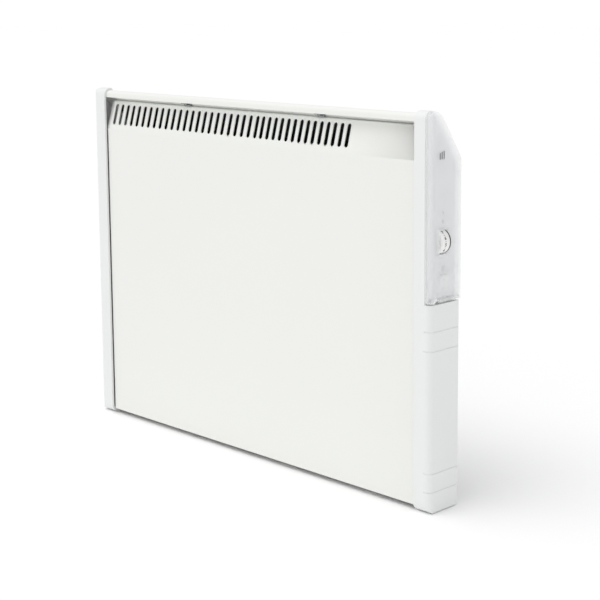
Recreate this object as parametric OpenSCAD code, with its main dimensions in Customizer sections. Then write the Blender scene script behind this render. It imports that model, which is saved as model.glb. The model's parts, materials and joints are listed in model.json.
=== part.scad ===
// Slim wall-hung electric convector heater. A folded steel body stands between two moulded end caps.
// A finned element low in the body warms the air, which rises and leaves by slots in the sloped top band.
// The controls sit in the right end cap, under a frosted cover that hinges down at its bottom edge.
// Origin: at the base, midway across the width and midway between the front and the wall. +Z up, -Y front.

/* [Body] */
// Width over the end caps
body_w = 500; // [420:1:700]
// Height over the end caps
body_h = 370; // [340:1:450]
// Depth of the end caps, front to back
cap_d = 41; // [39:0.5:50]
// Width of each end cap seen from the front
cap_w = 20; // [18:0.5:24]
// Space between the back of the end caps and the wall
wall_gap = 21; // [18:1:30]
// Wall thickness of the end caps
cap_wall = 2.4; // [2:0.1:2.8]
// Distance from the front to the crest where the top starts to slope down and back
crest_y = 10.2; // [10:0.1:12]
// Height that the rear slope takes from the top
slope_h = 45.5; // [40:0.5:52]
// Radius of the top front edge of the end caps
cap_top_r = 8; // [7:0.5:8.5]
// Radius of the bottom front edge of the end caps
cap_foot_r = 9; // [6:0.5:10]
// Radius of the upright outer front edge of the end caps
cap_edge_r = 6; // [4:0.5:6.5]

/* [Front panel] */
// How far the panel sits behind the front of the end caps
panel_in = 3; // [2:0.5:4]
// Sheet thickness of the front panel
panel_t = 1; // [0.8:0.1:1.2]
// Gap under the panel, from the base of the end caps
panel_lift = 5; // [4:0.5:8]
// Distance from the top down to the bend where the grille band starts
band_drop = 44; // [42:0.5:46]
// Height of the grille band
band_h = 30; // [28:0.5:30]
// How far the band leans back over its height
band_lean = 8; // [6:0.5:8]
// Width of an air slot
slot_w = 5; // [3.5:0.1:5.2]
// Length of an air slot
slot_l = 23; // [16:0.2:23.4]
// Number of slots in the left group
slot_left_n = 24; // [10:1:30]
// Spacing of the slots in the left group
slot_pitch = 10.08; // [9:0.01:11]
// Spacing of the slots in the right group
slot_pitch_right = 9.16; // [8.5:0.01:11]
// Spacing between the two groups
slot_step = 8.6; // [8:0.1:12]
// Distance from the left end cap to the first slot
slot_margin = 10.7; // [8:0.1:20]
// Width of the electronics compartment, measured from the right end cap
bay_w = 80; // [70:1:90]

/* [Top rail] */
// How far the rail sits inside the outline of the end caps
rail_in = 2.5; // [2:0.1:3]
// Height of the rail
rail_h = 7.5; // [7:0.5:8]
// Distance of each panel clip from the middle
clip_x = 100; // [60:1:140]

/* [Back] */
// Sheet thickness of the back panel, base and partition
sheet_t = 0.8; // [0.7:0.1:1]
// How far the back panel sits inside the outline of the end caps
back_in = 3.7; // [3.6:0.1:4.5]

/* [Grooves] */
// Heights of the four grooves across the end caps
groove_z = [21, 38.6, 153, 171]; // [15:0.5:180]
// Width of a groove
groove_w = 1.2; // [0.8:0.1:1.6]
// Depth of a groove
groove_depth = 0.5; // [0.3:0.1:0.8]
// How far a groove runs onto the front
groove_wrap = 7.5; // [7:0.5:10]

/* [Control cover] */
// Height of the frosted cover
cover_h = 173.2; // [160:0.5:178]
// Wall thickness of the cover
cover_t = 2; // [1.6:0.1:2.2]
// How far the cover stands proud of the end cap
cover_out = 2; // [1.6:0.1:2.2]
// Width of the cover's returns on the front and the back
cover_wrap = 8.5; // [8:0.1:9]
// Gap between the cover and the end cap under it
cover_gap = 1.4; // [1.2:0.1:2]
// Radius of the cover's hinge pins
hinge_r = 1; // [0.8:0.1:1]

/* [Thermostat] */
// Radius of the thermostat wheel
wheel_r = 11.5; // [10.5:0.1:11.5]
// Width of the thermostat wheel
wheel_w = 10.5; // [8:0.5:11]
// Distance from the front to the middle of the wheel
wheel_y = 16; // [15.5:0.5:17]
// Distance from the top down to the wheel's axis
wheel_drop = 117.7; // [112:0.5:120]
// Radius of the wheel's shaft
shaft_r = 1.5; // [1.2:0.1:1.6]

/* [Switch] */
// Width of the rocker
rocker_w = 11; // [9:0.5:12]
// Height of the rocker
rocker_h = 17; // [15:0.5:18]
// Distance from the front to the middle of the rocker
rocker_y = 20.7; // [19:0.5:22]
// Distance from the top down to the middle of the rocker
rocker_drop = 156.6; // [153:0.5:158]
// Angle between the rocker's two positions
rocker_throw = 14; // [10:1:14]

/* [Element] */
// Radius of the heating element's steel sheath
sheath_r = 4; // [3:0.25:5]
// Height of the element's axis
element_z = 62; // [55:1:90]
// Reach of the element's fins from the axis
fin_reach = 17; // [14:0.5:17]
// Thickness of the fins
fin_t = 1.6; // [1.2:0.1:2]

/* [Wall bracket] */
// Distance of each bracket arm from the middle
arm_x = 124; // [100:1:126]
// Sheet thickness of the bracket
bracket_t = 1.5; // [1.2:0.1:2]
// Distance of each wall screw hole from the middle
hole_x = 105; // [60:1:108]
// Height of the lower pair of wall screw holes
hole_low_z = 70; // [65:1:90]
// Height of the upper pair of wall screw holes
hole_high_z = 270; // [250:1:275]
// Radius of the wall screw holes
hole_r = 2.5; // [2:0.1:3]
// Radius of the bore for the mains lead in the cable gland
gland_bore_r = 3.6; // [3:0.1:4]

/* [Hidden] */
$fn = 48;
slack = 0.05;
play = 0.3;
cut = 1;
front_y = -(cap_d + wall_gap) / 2;
side_x = body_w / 2;
inner_x = side_x - cap_w;
panel_x = inner_x - 0.8;
chassis_x = inner_x - 0.4;
bay_x = inner_x - bay_w;
slope_z = body_h - slope_h;
lean = atan2(cap_d - crest_y, slope_h);
back_y = cap_d - back_in;
wall_y = cap_d + wall_gap;
cover_z = body_h - cover_h;
cover_x = side_x + cover_out - cover_wrap;
shelf_z = cover_z - cover_gap;
hinge_x = side_x - 1.8;
hinge_z = cover_z + 2.9;
lug_w = 4;
pin_y = 1.3;
lug_y = [cap_edge_r + 0.4, cap_d - cover_t - lug_w - 0.6];
deck_x = side_x - 4;
deck_t = 2;
deck_rise = 1;
wheel_x = deck_x - 1.5;
wheel_z = body_h - wheel_drop;
rocker_x = deck_x - 2.3;
rocker_z = body_h - rocker_drop;
deck_screw_y = 21.3;
deck_screw_z = wheel_z - 24.8;
housing_in = cap_wall + play;
housing_x = inner_x + 2;
band_z = body_h - band_drop;
band_angle = atan2(band_lean, band_h);
band_len = norm([band_lean, band_h]);
rail_z = body_h - rail_in - rail_h;
slot_x0 = -inner_x + slot_margin;
slot_x1 = slot_x0 + (slot_left_n - 1) * slot_pitch + slot_step;
slot_right_n = floor((bay_x - slot_w - slot_x1) / slot_pitch_right) + 1;
slot_xs = concat([for (i = [0:slot_left_n - 1]) slot_x0 + i * slot_pitch],
                 [for (i = [0:slot_right_n - 1]) slot_x1 + i * slot_pitch_right]);
sheet_y = panel_in + panel_t;
flange_d = 3;
base_x = panel_x - panel_t - play;
clip_y = panel_in + band_lean - 1.5;
mid_y = (sheet_y + back_y) / 2;
element_x0 = -inner_x + 22;
element_x1 = bay_x - 18;
board_x = deck_x - 6;
board_t = 1.6;
led_y = 20.4;
led_z = [body_h - 92.1, body_h - 99.7];
led_r = 1.5;
screw_y = 29.5;
screw_z = [45, 140];
screw_r = 1.5;
catch_z = hole_high_z + 22;
catch_y = cap_d + 11;
pin_r = 2;

// ---- outlines ----

// Corner p of an outline, between its neighbours a and b, rounded to radius r
function corner(a, p, b, r, n = 6) =
  r <= 0 ? [p] :
  let (u = (a - p) / norm(a - p), v = (b - p) / norm(b - p), half = acos(u * v) / 2)
  let (c = p + (u + v) / norm(u + v) * r / sin(half), s = p + u * r / tan(half) - c)
  let (start = atan2(s[1], s[0]), sweep = 180 - 2 * half)
  [for (i = [0:n]) c + r * [cos(start + sweep * i / n), sin(start + sweep * i / n)]];

// Outline with every corner rounded, its points listed anticlockwise
function rounded(pts, radii) = [
  for (i = [0:len(pts) - 1])
    each corner(pts[(i + len(pts) - 1) % len(pts)], pts[i], pts[(i + 1) % len(pts)], radii[i])
];

// Points of the end caps' side outline in Y and Z, moved in by e
function side_points(e) =
  let (reach = crest_y * cos(lean) + body_h * sin(lean) - e)
  [[e, e], [cap_d - e, e], [cap_d - e, (reach - (cap_d - e) * cos(lean)) / sin(lean)],
   [(reach - (body_h - e) * sin(lean)) / cos(lean), body_h - e], [e, body_h - e]];

// Side outline of the end caps moved in by e, its top front radius kept shorter than the flat top
module side_outline(e = 0) {
  pts = side_points(e);
  top_r = min(max(cap_top_r - e, 1), pts[3][0] - pts[4][0] - 0.4);
  polygon(rounded(pts, [max(cap_foot_r - e, 1), max(5 - e, 1), max(3 - e, 0.3), max(2.5 - e, 0.3), top_r]));
}

// Part of the side outline, moved in by e, that is above a height
module outline_above(e, z) {
  intersection() {
    side_outline(e);
    translate([0, z]) square([cap_d, body_h]);
  }
}

// Extrudes an outline drawn in Y and Z from x0 to x1
module along_x(x0, x1) {
  translate([x0, 0, 0]) rotate([90, 0, 90]) linear_extrude(height = x1 - x0) children();
}

// Box between two opposite corners
module box(a, b) {
  translate(a) cube(b - a);
}

// Cylinder from point p along X, Y or Z
module rod(p, r, h, dir = "z", fn = $fn) {
  turn = dir == "x" ? [0, 90, 0] : dir == "y" ? [-90, 0, 0] : [0, 0, 0];
  translate(p) rotate(turn) cylinder(r = r, h = h, $fn = fn);
}

// Flat slot with round ends, w wide and l long along Y, through a height h
module pill(w, l, h) {
  linear_extrude(height = h) union() {
    square([w, l - w], center = true);
    for (s = [-1, 1]) translate([0, s * (l - w) / 2]) circle(d = w, $fn = 32);
  }
}

// Puts what is drawn from the front face of the end caps into the part's own frame
module place() {
  translate([0, front_y, 0]) children();
}

// Repeats something drawn on the right on the left too
module both() {
  children();
  mirror([1, 0, 0]) children();
}

// ---- casing ----

module front_panel() {
  color([0.93, 0.93, 0.90]) place() difference() {
    union() {
      box([-panel_x, panel_in, panel_lift], [panel_x, sheet_y, band_z]);
      box([-panel_x, panel_in, panel_lift], [panel_x, sheet_y + 8, panel_lift + panel_t]);
      both() box([panel_x - panel_t, panel_in, panel_lift], [panel_x, sheet_y + 8, band_z - 2]);
      translate([0, panel_in, band_z]) rotate([-band_angle, 0, 0])
        box([-panel_x, 0, 0], [panel_x, panel_t, band_len]);
      box([-panel_x, panel_in + band_lean, band_z + band_h - panel_t],
          [panel_x, panel_in + band_lean + flange_d, band_z + band_h]);
    }
    translate([0, panel_in, band_z]) rotate([-band_angle, 0, 0])
      for (x = slot_xs)
        translate([x, panel_t + cut, band_len / 2 + 0.4]) rotate([90, 0, 0])
          pill(slot_w, slot_l, panel_t + 2 * cut);
    both() box([clip_x - 6, panel_in + band_lean - 2.5, band_z + band_h - 2.5],
               [clip_x + 6, panel_in + band_lean + flange_d + cut, band_z + band_h + cut]);
  }
}

module back_panel() {
  color([0.80, 0.81, 0.82]) place() difference() {
    union() {
      along_x(-chassis_x, chassis_x) intersection() {
        difference() {
          side_outline(back_in);
          side_outline(back_in + sheet_t);
        }
        translate([panel_in + band_lean + 6, 7]) square([cap_d, body_h]);
      }
      both() along_x(chassis_x - sheet_t, chassis_x) intersection() {
        side_outline(back_in);
        translate([sheet_y + 9, 7]) square([cap_d, slope_z - 10]);
      }
    }
    for (x = [-arm_x, arm_x]) {
      box([x - 3, back_y - 5, hole_low_z - 12], [x + 3, cap_d, hole_low_z + 8]);
      box([x - 10, back_y - 5, catch_z - 8], [x + 3, cap_d, catch_z + 3.5]);
    }
    for (i = [0:6])
      translate([bay_x + 22 + i * 8, back_y + cut, 150]) rotate([90, 0, 0]) pill(3.4, 40, 4);
    rod([bay_x + 44, back_y - 5, 34], 7.5 + slack, 10, "y");
    rod([bay_x + 66, back_y - 5, 34], 2 + slack, 10, "y");
    box([chassis_x - 5, 16, 180], [chassis_x + cut, back_y - sheet_t - 5.5, 235]);
    both() for (z = screw_z) rod([chassis_x - 5, screw_y, z], screw_r + slack, 10, "x");
    both() for (x = [40, 190]) rod([x, back_y - 5, 14], 1.5 + slack, 10, "y");
  }
}

module base_grille() {
  color([0.78, 0.79, 0.80]) place() difference() {
    union() {
      box([-base_x, sheet_y + 1, 8], [base_x, back_y - sheet_t, 8 + sheet_t]);
      box([-base_x, back_y - 2 * sheet_t, 8], [base_x, back_y - sheet_t, 20]);
    }
    for (i = [0:floor((bay_x + inner_x - 30) / 10)])
      translate([-inner_x + 15 + i * 10, mid_y - 1, 7]) pill(4.5, 22, 3);
    both() for (x = [40, 190]) rod([x, back_y - 6, 14], 1.5 + slack, 10, "y");
  }
}

module top_rail() {
  color([0.92, 0.92, 0.90]) place() difference() {
    along_x(-inner_x + 0.2, inner_x - 0.2) difference() {
      intersection() {
        side_outline(rail_in);
        union() {
          translate([0, rail_z]) square([panel_in + band_lean + 4, 2 * rail_h]);
          translate([crest_y - 2, rail_z - 12]) square([14, 40]);
        }
      }
      intersection() {
        side_outline(rail_in + 1);
        square([cap_d, rail_z]);
      }
    }
    both() rod([clip_x, clip_y, rail_z - cut], 1.2 + slack, 4);
  }
}

// Solid of the right end cap, moved in by e, from x0 outwards
module cap_solid(e, x0) {
  out = side_x - e;
  intersection() {
    along_x(x0, out) side_outline(e);
    translate([0, cap_d, 0]) rotate([90, 0, 0]) linear_extrude(height = cap_d)
      polygon(rounded([[x0, 0], [out, 0], [out, body_h - e], [x0, body_h - e]], [0, 3, max(7 - e, 1), 0]));
    linear_extrude(height = body_h)
      polygon(rounded([[x0, e], [out, e], [out, cap_d - e], [x0, cap_d - e]],
                      [0, max(cap_edge_r - e, 1), max(2.5 - e, 0.5), 0]));
  }
}

// Shallow grooves round the side, wrapping a little onto the front
module cap_grooves() {
  floor_x = side_x - groove_depth;
  start_x = side_x - groove_wrap;
  for (z = groove_z) translate([0, 0, z - groove_w / 2]) linear_extrude(height = groove_w) difference() {
    translate([start_x, -cut]) square([groove_wrap + cut, cap_d + 2 * cut]);
    polygon(rounded([[start_x - 1, groove_depth], [floor_x, groove_depth], [floor_x, cap_d + 1],
                     [start_x - 1, cap_d + 1]], [0, max(cap_edge_r - groove_depth, 1), 0, 0]));
  }
}

// Screw bosses that stand between the end cap's side wall and the body
module cap_bosses() {
  for (z = screw_z) rod([inner_x, screw_y, z], 3.6, cap_w - cap_wall + 0.2, "x");
}

module cap_boss_holes() {
  for (z = screw_z) rod([inner_x - cut, screw_y, z], screw_r + slack, cap_w - 6, "x");
}

module left_end_cap() {
  color([0.92, 0.93, 0.94]) place() mirror([1, 0, 0]) difference() {
    union() {
      difference() {
        cap_solid(0, inner_x);
        cap_solid(cap_wall, inner_x - cut);
      }
      cap_bosses();
    }
    cap_grooves();
    cap_boss_holes();
  }
}

// Bearing lugs for the cover's hinge pins, on the shelf at the top of the lower part
module hinge_lugs() {
  for (y = lug_y) {
    box([hinge_x - 3.7, y, shelf_z - 1], [hinge_x - 1.2, y + lug_w, hinge_z]);
    rod([hinge_x, y, hinge_z], hinge_r + 0.5, lug_w, "y");
  }
}

module right_end_cap() {
  color([0.92, 0.93, 0.94]) place() difference() {
    union() {
      difference() {
        cap_solid(0, inner_x);
        cap_solid(cap_wall, inner_x - cut);
        box([cover_x - 0.5, -cut, shelf_z - cut], [side_x + cut, cap_d + cut, body_h + cut]);
      }
      intersection() {
        cap_solid(0, inner_x);
        box([cover_x - 3, 0, shelf_z - cap_wall], [side_x, cap_d, shelf_z]);
      }
      hinge_lugs();
      cap_bosses();
    }
    cap_grooves();
    cap_boss_holes();
    for (y = lug_y) rod([hinge_x, y - cut, hinge_z], hinge_r + slack, lug_w + 2 * cut, "y");
    for (i = [0:3]) box([inner_x + 5, 8 + i * 5, -cut], [inner_x + 14, 10 + i * 5, cap_wall + cut]);
  }
}

module panel_clips() {
  color([0.35, 0.36, 0.37]) place() for (x = [-clip_x, clip_x]) translate([x, clip_y, 0])
    difference() {
      union() {
        box([-4.5, -3.2, rail_z - 1], [4.5, 3, rail_z]);
        box([-4.5, 2.2, band_z + band_h - 2.2], [4.5, 3, rail_z]);
      }
      rod([0, 0, rail_z - 2], 1.2 + slack, 3);
    }
}

module clip_screws() {
  color([0.25, 0.25, 0.27]) place() for (x = [-clip_x, clip_x])
    translate([x, clip_y, 0]) difference() {
      union() {
        rod([0, 0, rail_z - 2.6], 2.1, 1.6);
        rod([0, 0, rail_z - 1.2], 1.2, 3.4);
      }
      box([-0.4, -3, rail_z - 3], [0.4, 3, rail_z - 2.1]);
    }
}

module cap_screws() {
  color([0.6, 0.61, 0.62]) place() both() for (z = screw_z) {
    rod([chassis_x - sheet_t - 2, screw_y, z], 3.2, 2, "x");
    rod([chassis_x - sheet_t - 1, screw_y, z], screw_r, 12, "x");
  }
}

module base_screws() {
  color([0.6, 0.61, 0.62]) place() both() for (x = [40, 190]) {
    rod([x, back_y, 14], 3, 1.8, "y");
    rod([x, back_y - 6, 14], 1.5, 7, "y");
  }
}

module partition() {
  color([0.75, 0.76, 0.77]) place() difference() {
    union() {
      box([bay_x, sheet_y + 1, 9], [bay_x + sheet_t, back_y - 2 * sheet_t - 0.2, slope_z - 6]);
      box([bay_x, back_y - 2 * sheet_t - 0.2, 22], [bay_x + 10, back_y - sheet_t, slope_z - 6]);
    }
    rod([bay_x - 5, mid_y, 100], 5, 10, "x");
    rod([bay_x - 5, mid_y, 200], 8.1, 10, "x");
  }
}

// ---- heating element ----

module heat_shield() {
  color([0.86, 0.87, 0.88]) place() difference() {
    box([-chassis_x + 6, back_y - sheet_t - 3, 24], [bay_x - 6, back_y - sheet_t - 2.6, 190]);
    for (x = [-arm_x, arm_x])
      box([x - 4, back_y - sheet_t - 4, hole_low_z - 12], [x + 4, back_y, hole_low_z + 10]);
  }
}

module element_sheath() {
  color([0.45, 0.44, 0.43]) place()
    rod([element_x0 - 12, mid_y - 2, element_z], sheath_r, element_x1 - element_x0 + 24, "x");
}

// Four crossed fins round a collar, slit across so that they stay flat when hot
module element_fins() {
  slit = 1.2;
  pitch = 12;
  color([0.78, 0.79, 0.80]) place() difference() {
    along_x(element_x0, element_x1) translate([mid_y - 2, element_z]) difference() {
      union() {
        circle(r = sheath_r + 1.6);
        intersection() {
          union() {
            for (a = [50, 130]) rotate(a) square([4 * fin_reach, fin_t], center = true);
          }
          square([2 * (mid_y - sheet_y - 4), 2 * fin_reach * 1.3], center = true);
        }
      }
      circle(r = sheath_r + 0.02);
    }
    for (x = [element_x0 + pitch:pitch:element_x1 - pitch], s = [-1, 1])
      translate([x, mid_y - 2, element_z + s * (sheath_r + 12)])
        cube([slit, 3 * fin_reach, 16], center = true);
  }
}

module element_brackets() {
  color([0.70, 0.71, 0.72]) place() for (x = [element_x0 - 6, element_x1 + 5]) difference() {
    union() {
      box([x, mid_y - 11, element_z - 10], [x + 1, back_y - sheet_t - 3.2, element_z + 14]);
      box([x, back_y - sheet_t - 4.2, element_z - 10], [x + 8, back_y - sheet_t - 3.2, element_z + 14]);
    }
    rod([x - 1, mid_y - 2, element_z], sheath_r + 2.5, 3, "x");
  }
}

module element_bushes() {
  color([0.90, 0.87, 0.80]) place() for (x = [element_x0 - 6, element_x1 + 5]) difference() {
    union() {
      rod([x - 1.5, mid_y - 2, element_z], sheath_r + 2.45, 4, "x");
      rod([x + 1, mid_y - 2, element_z], sheath_r + 4, 1.5, "x");
    }
    rod([x - 2, mid_y - 2, element_z], sheath_r + 0.02, 6, "x");
  }
}

module element_terminals() {
  color([0.72, 0.72, 0.70]) place() {
    rod([element_x0 - 18, mid_y - 2, element_z], 1.5, 6, "x");
    rod([element_x1 + 12, mid_y - 2, element_z], 1.5, 5, "x");
  }
}

module thermal_cutout() {
  color([0.85, 0.83, 0.78]) place() {
    rod([bay_x - 5, mid_y, 200], 8, 5 + sheet_t + 4, "x");
    for (s = [-1, 1]) box([bay_x + 4, mid_y + s * 4 - 0.4, 197], [bay_x + 13, mid_y + s * 4 + 0.4, 203]);
    box([bay_x + sheet_t, mid_y - 11, 195], [bay_x + sheet_t + 0.8, mid_y + 11, 205]);
  }
}

module grommet() {
  color([0.12, 0.12, 0.13]) place() difference() {
    union() {
      rod([bay_x - 2, mid_y, 100], 4.9, 5, "x");
      rod([bay_x - 2, mid_y, 100], 6.5, 1.9, "x");
      rod([bay_x + sheet_t + 0.1, mid_y, 100], 6.5, 2.1, "x");
    }
    rod([bay_x - 3, mid_y, 100], 2.5, 8, "x");
  }
}

// ---- controls ----

// Opening for the thermostat wheel, wide enough for it to turn free, from x0 to x1
module wheel_opening(x0, x1, gap) {
  box([x0, wheel_y - wheel_w / 2 - 0.75, wheel_z - gap], [x1, wheel_y + wheel_w / 2 + 0.75, wheel_z + gap]);
}

module control_housing() {
  wall = 1.6;
  color([0.86, 0.87, 0.88]) place() difference() {
    union() {
      difference() {
        along_x(housing_x, deck_x) outline_above(housing_in, shelf_z + play);
        along_x(housing_x - cut, deck_x - deck_t) outline_above(housing_in + wall, shelf_z + play + wall);
      }
      box([deck_x - 1, 9.5, cover_z + 8], [deck_x + deck_rise, 31, slope_z - 4]);
      box([deck_x - 6, wheel_y - wheel_w / 2 - 4, wheel_z - 4],
          [deck_x + 0.5, wheel_y - wheel_w / 2, wheel_z + 4]);
    }
    box([hinge_x - 4.4, -cut, shelf_z - cut], [deck_x + cut, cap_d + cut, hinge_z + 1]);
    wheel_opening(wheel_x - wheel_r - 5, deck_x + deck_rise + cut, wheel_r + 0.8);
    rod([wheel_x, wheel_y - wheel_w / 2 - 3.3, wheel_z], shaft_r + slack, 5, "y");
    box([deck_x - deck_t - cut, wheel_y + wheel_w / 2 + 0.5, wheel_z - 6.3],
        [deck_x + deck_rise + cut, wheel_y + wheel_w / 2 + 7.3, wheel_z + 6.3]);
    box([deck_x - deck_t - cut, rocker_y - rocker_w / 2 - 1.1, rocker_z - rocker_h / 2 - 1.1],
        [deck_x + deck_rise + cut, rocker_y + rocker_w / 2 + 1.1, rocker_z + rocker_h / 2 + 1.1]);
    for (z = led_z) rod([deck_x - deck_t - cut, led_y, z], led_r + slack, 5, "x");
    rod([deck_x - deck_t - cut, deck_screw_y, deck_screw_z], screw_r + slack, 5, "x");
  }
}

module housing_screw() {
  color([0.55, 0.56, 0.57]) place() difference() {
    union() {
      rod([deck_x + deck_rise, deck_screw_y, deck_screw_z], 2.4, 0.9, "x");
      rod([deck_x - 8, deck_screw_y, deck_screw_z], screw_r, 8 + deck_rise + 0.5, "x");
    }
    box([deck_x + deck_rise + 0.5, deck_screw_y - 2.5, deck_screw_z - 0.3],
        [deck_x + 3, deck_screw_y + 2.5, deck_screw_z + 0.3]);
  }
}

module control_cover() {
  out = side_x + cover_out;
  color([0.90, 0.92, 0.93, 0.6]) place() difference() {
    intersection() {
      along_x(cover_x, out) side_outline(0);
      box([cover_x, 0, cover_z], [out, cap_d, body_h]);
      translate([0, cap_d, 0]) rotate([90, 0, 0]) linear_extrude(height = cap_d)
        polygon(rounded([[cover_x, 0], [out, 0], [out, body_h], [cover_x, body_h]], [0, 0, 7, 0]));
      linear_extrude(height = body_h)
        polygon(rounded([[cover_x, 0], [out, 0], [out, cap_d], [cover_x, cap_d]], [0, cap_edge_r, 2.5, 0]));
    }
    intersection() {
      along_x(cover_x - cut, out - cover_t) side_outline(cover_t);
      box([cover_x - cut, 0, cover_z - cut], [out, cap_d, body_h]);
      translate([0, cap_d, 0]) rotate([90, 0, 0]) linear_extrude(height = cap_d)
        polygon(rounded([[cover_x - cut, 0], [out - cover_t, 0], [out - cover_t, body_h - cover_t],
                         [cover_x - cut, body_h - cover_t]], [0, 0, 5, 0]));
      linear_extrude(height = body_h)
        polygon(rounded([[cover_x - cut, cover_t], [out - cover_t, cover_t], [out - cover_t, cap_d - cover_t],
                         [cover_x - cut, cap_d - cover_t]], [0, cap_edge_r - cover_t, 0.5, 0]));
    }
    wheel_opening(side_x - 5, out + cut, wheel_r - 0.6);
    for (p = [[cover_x, 2.2], [out, 2.2]]) translate([p[0], cap_d / 2, cover_z]) rotate([0, 45, 0])
      cube([p[1] * sqrt(2), cap_d + 2, p[1] * sqrt(2)], center = true);
    for (y = lug_y)
      box([out - cover_t - 1, y - play, cover_z - cut], [out + cut, y + lug_w + play, hinge_z + 0.1]);
    rod([hinge_x, pin_y, hinge_z], hinge_r, cap_edge_r, "y");
    rod([hinge_x, lug_y[1] + lug_w, hinge_z], hinge_r, cover_t + 2, "y");
  }
}

module cover_hinge_pins() {
  color([0.6, 0.61, 0.62]) place() {
    rod([hinge_x, pin_y, hinge_z], hinge_r, lug_y[0] + lug_w - pin_y, "y");
    rod([hinge_x, lug_y[1] - 0.2, hinge_z], hinge_r, lug_w + cover_t, "y");
  }
}

// Flat raised mark of three warm-air waves on the cover
module cover_badge() {
  out = side_x + cover_out;
  color([0.35, 0.36, 0.38]) place() for (i = [0:2])
    box([out, 9.5 + i * 2.6, body_h - 43], [out + 0.25, 10.7 + i * 2.6, body_h - 37 + i * 0.8]);
}

module thermostat_wheel() {
  ribs = 24;
  color([0.95, 0.95, 0.94]) place() {
    difference() {
      rod([wheel_x, wheel_y - wheel_w / 2, wheel_z], wheel_r, wheel_w, "y", 96);
      for (i = [0:ribs - 1]) translate([wheel_x, wheel_y, wheel_z]) rotate([0, i * 360 / ribs, 0])
        box([wheel_r - 0.3, wheel_w / 2 - 2.5, -0.5], [wheel_r + cut, wheel_w / 2 + cut, 0.5]);
    }
    rod([wheel_x, wheel_y - wheel_w / 2 - 3, wheel_z], shaft_r, wheel_w + 8, "y");
  }
}

module potentiometer() {
  color([0.20, 0.22, 0.25]) place() difference() {
    union() {
      box([wheel_x - 9, wheel_y + wheel_w / 2 + 0.8, wheel_z - 6],
          [deck_x + 0.6, wheel_y + wheel_w / 2 + 7, wheel_z + 6]);
      for (s = [-1, 0, 1]) box([wheel_x - 13, wheel_y + wheel_w / 2 + 3, wheel_z + s * 4 - 0.4],
                               [wheel_x - 8.5, wheel_y + wheel_w / 2 + 3.6, wheel_z + s * 4 + 0.4]);
    }
    rod([wheel_x, wheel_y + wheel_w / 2, wheel_z], shaft_r + slack, 5.6, "y");
  }
}

module circuit_board() {
  color([0.10, 0.35, 0.20]) place() difference() {
    box([board_x, 9, wheel_z + 14], [board_x + board_t, 33, slope_z - 6]);
    for (z = led_z) for (s = [-1, 1]) rod([board_x - cut, led_y + s * 1.27, z], 0.4, 4, "x", 16);
  }
}

module relay() {
  color([0.15, 0.25, 0.45]) place()
    box([board_x - 9, 11, wheel_z + 40], [board_x, 22, wheel_z + 59]);
}

module capacitor() {
  color([0.12, 0.12, 0.14]) place() rod([board_x - 9, 27.5, wheel_z + 48], 4, 9, "x");
}

// One indicator: a round lens on a flange, with its two legs through the board
module led(z) {
  rod([board_x + board_t, led_y, z], led_r + 0.5, 1, "x");
  rod([board_x + board_t, led_y, z], led_r, deck_x + deck_rise - board_x - board_t, "x");
  for (s = [-1, 1]) rod([board_x - 1.2, led_y + s * 1.27, z], 0.35, board_t + 2, "x", 16);
}

module led_power() {
  color([0.25, 0.30, 0.26]) place() led(led_z[0]);
}

module led_heat() {
  color([0.55, 0.35, 0.30]) place() led(led_z[1]);
}

module switch_body() {
  w = rocker_w / 2;
  h = rocker_h / 2;
  color([0.88, 0.89, 0.90]) place() difference() {
    union() {
      box([deck_x - 14, rocker_y - w - 0.9, rocker_z - h - 0.9],
          [deck_x + deck_rise, rocker_y + w + 0.9, rocker_z + h + 0.9]);
      box([deck_x + deck_rise, rocker_y - w - 2, rocker_z - h - 2],
          [deck_x + deck_rise + 0.8, rocker_y + w + 2, rocker_z + h + 2]);
      for (s = [-1, 1]) box([deck_x - 15.9, rocker_y - 2.4, rocker_z + s * 5 - 0.4],
                            [deck_x - 13, rocker_y + 2.4, rocker_z + s * 5 + 0.4]);
    }
    box([rocker_x - 5, rocker_y - w - play, rocker_z - h - play],
        [deck_x + 3, rocker_y + w + play, rocker_z + h + play]);
    rod([rocker_x, rocker_y - w - 2, rocker_z], 1.2 + slack, rocker_w + 4, "y");
  }
}

module rocker_button() {
  h = rocker_h / 2 - 0.6;
  color([0.95, 0.95, 0.95]) place() translate([rocker_x, rocker_y, rocker_z])
    rotate([0, rocker_throw / 2, 0]) {
      translate([0, rocker_w / 2, 0]) rotate([90, 0, 0]) linear_extrude(height = rocker_w)
        polygon([[-2.6, -2.6], [2.2, -h], [4.6, -h], [3.9, 0], [4.6, h], [2.2, h], [-2.6, 2.6]]);
      rod([0, -rocker_w / 2 - 0.8, 0], 1.2, rocker_w + 1.6, "y");
    }
}

// ---- mains side ----

module terminal_block() {
  color([0.90, 0.90, 0.86]) place() difference() {
    box([bay_x + 24, back_y - sheet_t - 14, 70], [bay_x + 54, back_y - sheet_t, 84]);
    for (i = [0:2]) {
      rod([bay_x + 29 + i * 10, back_y - sheet_t - 9, 66], 1.6, 22);
      rod([bay_x + 29 + i * 10, back_y - sheet_t - 15, 77], 2, 6, "y");
    }
  }
}

module cable_gland() {
  color([0.12, 0.12, 0.13]) place() difference() {
    union() {
      rod([bay_x + 44, back_y, 34], 10, 3, "y");
      rod([bay_x + 44, back_y - 12, 34], 7.5, 13, "y");
      rod([bay_x + 44, back_y + 2, 34], 7, 9, "y");
    }
    rod([bay_x + 44, back_y - 13, 34], gland_bore_r, 26, "y");
  }
}

module gland_nut() {
  color([0.16, 0.16, 0.17]) place() difference() {
    rod([bay_x + 44, back_y - sheet_t - 5, 34], 11, 5, "y", 6);
    rod([bay_x + 44, back_y - sheet_t - 6, 34], 7.5 + slack, 7, "y");
  }
}

module earth_stud() {
  color([0.72, 0.66, 0.42]) place() {
    rod([bay_x + 66, back_y - 14, 34], 2, 14, "y");
    rod([bay_x + 66, back_y, 34], 4, 1.6, "y");
  }
}

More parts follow.
